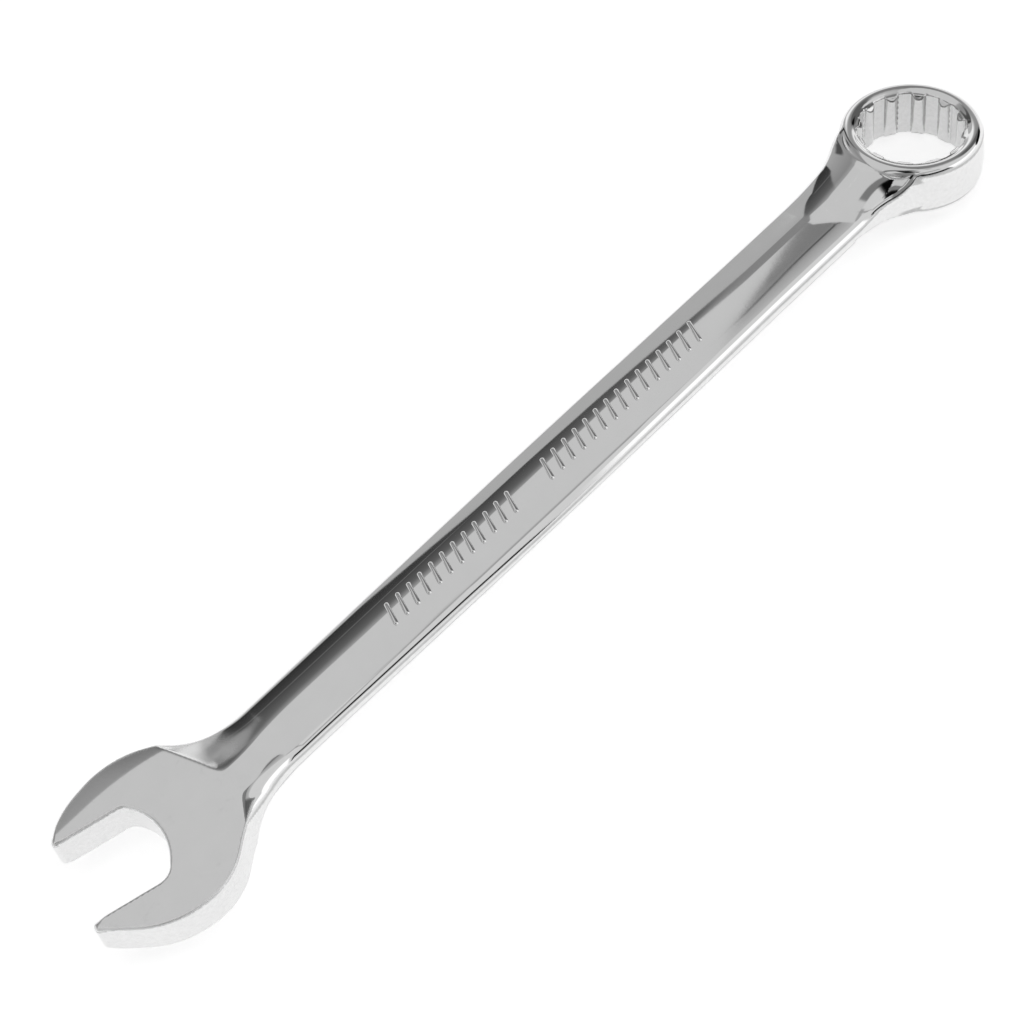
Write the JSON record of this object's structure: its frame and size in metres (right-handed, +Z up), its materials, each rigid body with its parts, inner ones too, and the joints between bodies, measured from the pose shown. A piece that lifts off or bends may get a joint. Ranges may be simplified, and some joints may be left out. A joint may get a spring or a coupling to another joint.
{
  "type": "combination wrench",
  "caption": "Combination wrench: an angled open end and an offset twelve-point ring end on one chrome-plated forged shank.",
  "frame": {"origin": "under the middle of the tool, at the height of its lowest point, the far lower edge of the ring", "axes": "+X along the shank from the open end to the ring end, +Z up, out of the face with the raised marks"},
  "size_m": [0.2184, 0.0346, 0.0155],
  "materials": {
    "chrome_polished": "bright chrome plate over a polished forging, fine polishing lines",
    "chrome_satin": "chrome plate over a finely ground face, slightly satin",
    "chrome_relief": "chrome plate over forged raised marks, slightly softer than the shank"
  },
  "bodies": {
    "root": {"open_end_head": "chrome_satin", "shank": "chrome_polished", "ring_end_head": "chrome_polished", "raised_marks": "chrome_relief"}
  },
  "joints": []
}
